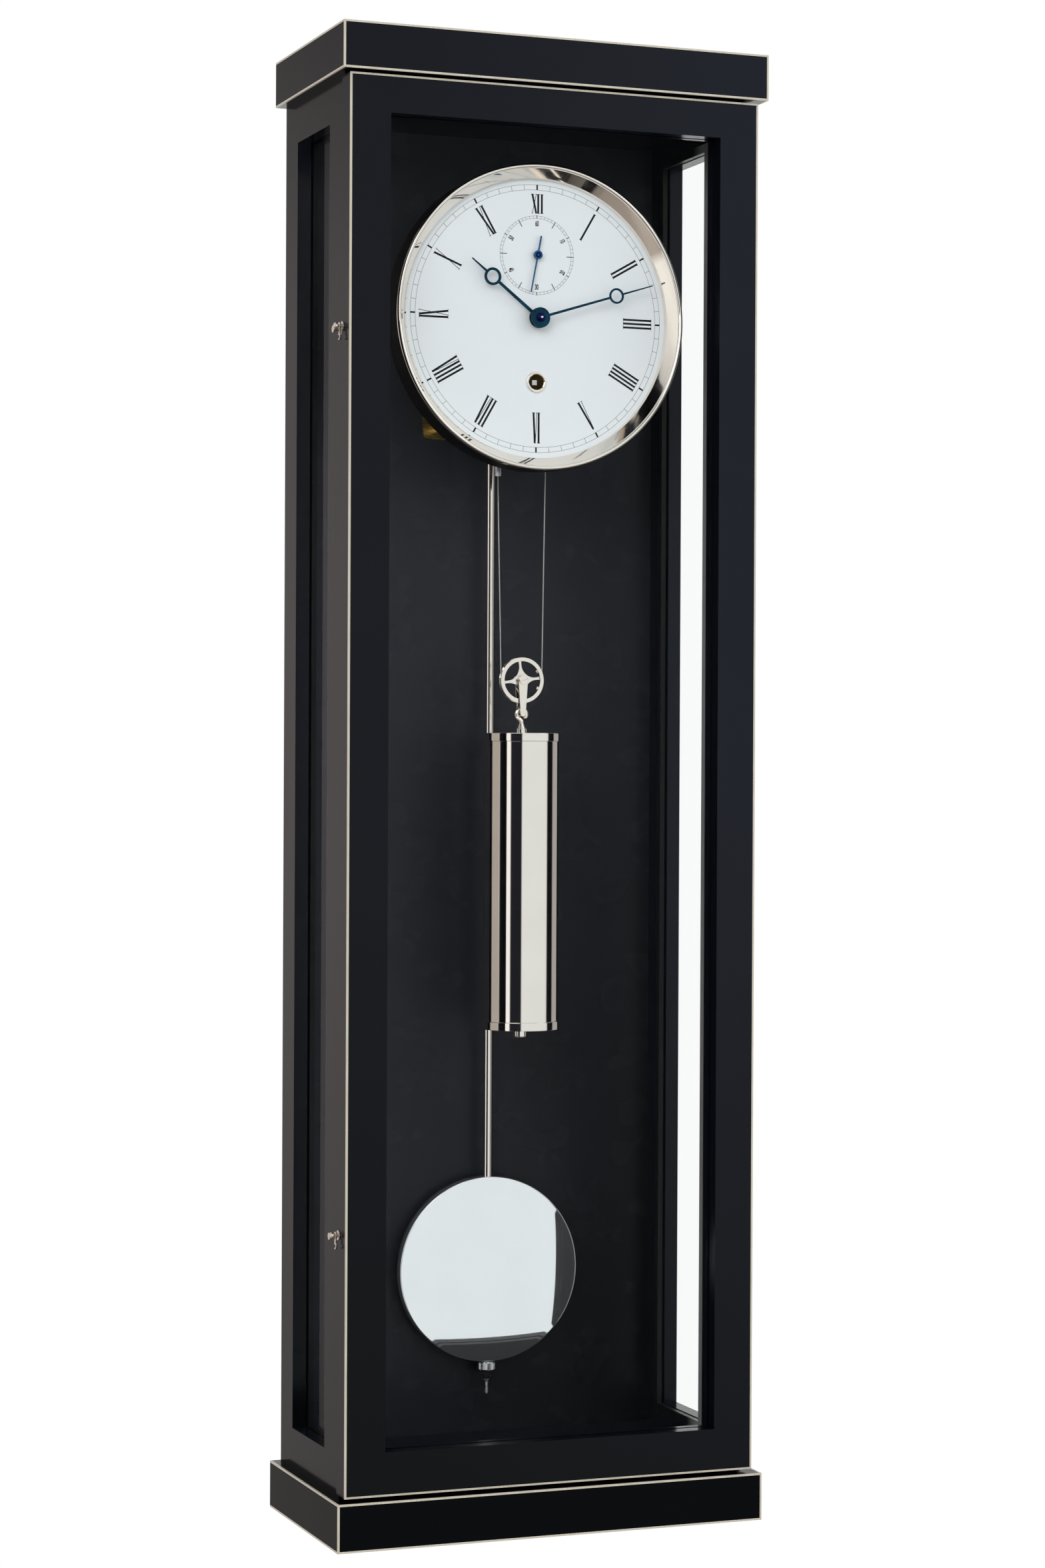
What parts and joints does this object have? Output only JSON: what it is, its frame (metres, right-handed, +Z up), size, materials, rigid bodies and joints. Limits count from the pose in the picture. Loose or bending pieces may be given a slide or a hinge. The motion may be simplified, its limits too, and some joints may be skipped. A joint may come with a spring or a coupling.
{
  "type": "regulator wall clock",
  "caption": "Tall weight-driven regulator wall clock: glazed black case with pale edge inlay, white dial with small seconds, lens-bob pendulum, cable-hung weight and hinged door.",
  "frame": {"origin": "centre of the wall hanger's round entry hole, on the wall plane behind the case", "axes": "+X to the viewer's right, +Y into the wall, +Z up along the case"},
  "size_m": [0.3048, 0.1532, 1],
  "materials": {
    "black_lacquer": "satin black lacquer on wood",
    "pale_inlay": "clear-lacquered pale maple",
    "clear_glass": "clear polished glass",
    "dial_white": "smooth white dial paint",
    "nickel": "polished nickel plate",
    "brass": "brushed lacquered brass",
    "blued_steel": "polished blued steel",
    "steel": "bright turned steel",
    "iron": "rough iron filling",
    "black_paint": "matt black paint"
  },
  "bodies": {
    "case": {"crown": "black_lacquer", "base_plinth": "black_lacquer", "case_inlay": "pale_inlay", "side_stiles": "black_lacquer", "side_rails": "black_lacquer", "side_glass": "clear_glass", "side_glass_beads": "black_lacquer", "case_boards": "black_lacquer", "back_panel": "black_lacquer", "hanger_plate": "steel", "hanger_screws": "steel", "catch_studs": "nickel", "front_plate": "brass", "back_plate": "brass", "plate_pillars": "brass", "movement_posts": "brass", "suspension_cock": "brass", "dial_plate": "dial_white", "bezel": "nickel", "dial_can": "black_paint", "winding_grommet": "nickel", "cable_runs": "steel", "cable_anchor": "nickel"},
    "door": {"door_left_stile": "black_lacquer", "door_right_stile": "black_lacquer", "door_rails": "black_lacquer", "door_inlay": "pale_inlay", "door_pivot_pins": "steel", "door_glass": "clear_glass", "door_glass_beads": "black_lacquer", "latch_studs": "nickel"},
    "upper_latch": {"upper_latch_hook": "nickel"},
    "lower_latch": {"lower_latch_hook": "nickel"},
    "hour": {"hour_hand": "blued_steel", "hour_wheel": "brass"},
    "minute": {"minute_hand": "blued_steel", "cannon_pinion": "brass", "hand_nut": "blued_steel"},
    "minute_work": {"minute_wheel": "brass"},
    "escape": {"escape_wheel": "brass", "seconds_hand": "blued_steel"},
    "third": {"third_wheel": "brass"},
    "centre": {"centre_wheel": "brass"},
    "second": {"second_wheel": "brass"},
    "great": {"great_wheel": "brass"},
    "drum": {"cable_drum": "brass"},
    "anchor": {"anchor": "steel"},
    "pendulum": {"pendulum_rod": "nickel", "pendulum_bob": "nickel", "rod_tip": "black_paint", "suspension_spring": "steel"},
    "rating_nut": {"rating_nut": "nickel"},
    "weight": {"weight_tube": "nickel", "weight_core": "iron", "weight_caps": "nickel", "weight_hook": "nickel", "pulley_stirrup": "nickel", "pulley_screw": "nickel", "cable_pulley_bend": "steel"},
    "pulley": {"pulley_wheel": "nickel"}
  },
  "joints": [
    {"name": "door_swing", "type": "hinge", "parent": "case", "child": "door", "pos_m": [0.14215, -0.1355, -0.438], "axis": [0, 0, 1], "range_deg": [0, 95]},
    {"name": "upper_latch_turn", "type": "hinge", "parent": "door", "child": "upper_latch", "pos_m": [-0.14615, -0.135, -0.1352], "axis": [1, 0, 0], "range_deg": [0, 77.91]},
    {"name": "lower_latch_turn", "type": "hinge", "parent": "door", "child": "lower_latch", "pos_m": [-0.14615, -0.135, -0.7322], "axis": [1, 0, 0], "range_deg": [0, 77.91]},
    {"name": "pendulum_swing", "type": "hinge", "parent": "case", "child": "pendulum", "pos_m": [0, -0.021, -0.055], "axis": [0, 1, 0], "range_deg": [-2.5, 2.5], "deforming": ["suspension_spring"]},
    {"name": "anchor_rock", "type": "hinge", "parent": "case", "child": "anchor", "pos_m": [0, -0.07, -0.055], "axis": [0, 1, 0], "range_deg": [-2.5, 2.5]},
    {"name": "rating_nut_turn", "type": "hinge", "parent": "pendulum", "child": "rating_nut", "pos_m": [0, -0.021, -0.842], "axis": [0, 0, 1], "continuous": true},
    {"name": "weight_slide", "type": "slide", "parent": "case", "child": "weight", "axis": [0, 0, 1], "range_m": [-0.245, 0.115], "deforming": ["cable_runs"]},
    {"name": "pulley_spin", "type": "hinge", "parent": "weight", "child": "pulley", "pos_m": [0.0017, -0.079, -0.3646], "axis": [0, 1, 0], "range_deg": [-460, 950]},
    {"name": "drum_turn", "type": "hinge", "parent": "case", "child": "drum", "pos_m": [0, -0.079, -0.163], "axis": [0, 1, 0], "range_deg": [-700, 1460]},
    {"name": "minute_turn", "type": "hinge", "parent": "case", "child": "minute", "pos_m": [0, -0.1, -0.12], "axis": [0, 1, 0], "continuous": true},
    {"name": "minute_work_turn", "type": "hinge", "parent": "case", "child": "minute_work", "pos_m": [0.01039, -0.092, -0.126], "axis": [0, 1, 0], "continuous": true},
    {"name": "hour_turn", "type": "hinge", "parent": "case", "child": "hour", "pos_m": [0, -0.1, -0.12], "axis": [0, 1, 0], "continuous": true},
    {"name": "third_turn", "type": "hinge", "parent": "case", "child": "third", "pos_m": [0.01505, -0.07, -0.09758], "axis": [0, 1, 0], "continuous": true},
    {"name": "escape_turn", "type": "hinge", "parent": "case", "child": "escape", "pos_m": [0, -0.07, -0.077], "axis": [0, 1, 0], "continuous": true},
    {"name": "centre_turn", "type": "hinge", "parent": "case", "child": "centre", "pos_m": [0, -0.07, -0.12], "axis": [0, 1, 0], "continuous": true},
    {"name": "second_turn", "type": "hinge", "parent": "case", "child": "second", "pos_m": [-0.01941, -0.07, -0.13819], "axis": [0, 1, 0], "continuous": true},
    {"name": "great_turn", "type": "hinge", "parent": "case", "child": "great", "pos_m": [0, -0.07, -0.163], "axis": [0, 1, 0], "continuous": true}
  ],
  "couplings": [
    {"joint": "anchor_rock", "follows": "pendulum_swing", "ratio": 1},
    {"joint": "pulley_spin", "follows": "weight_slide", "rad_per_m": -66.667},
    {"joint": "drum_turn", "follows": "weight_slide", "rad_per_m": -103.09},
    {"joint": "minute_work_turn", "follows": "minute_turn", "ratio": -0.33333},
    {"joint": "hour_turn", "follows": "minute_turn", "ratio": 0.083333},
    {"joint": "third_turn", "follows": "escape_turn", "ratio": -0.13333},
    {"joint": "centre_turn", "follows": "escape_turn", "ratio": 0.016667},
    {"joint": "second_turn", "follows": "escape_turn", "ratio": -0.003125},
    {"joint": "great_turn", "follows": "escape_turn", "ratio": 0.00052083}
  ]
}
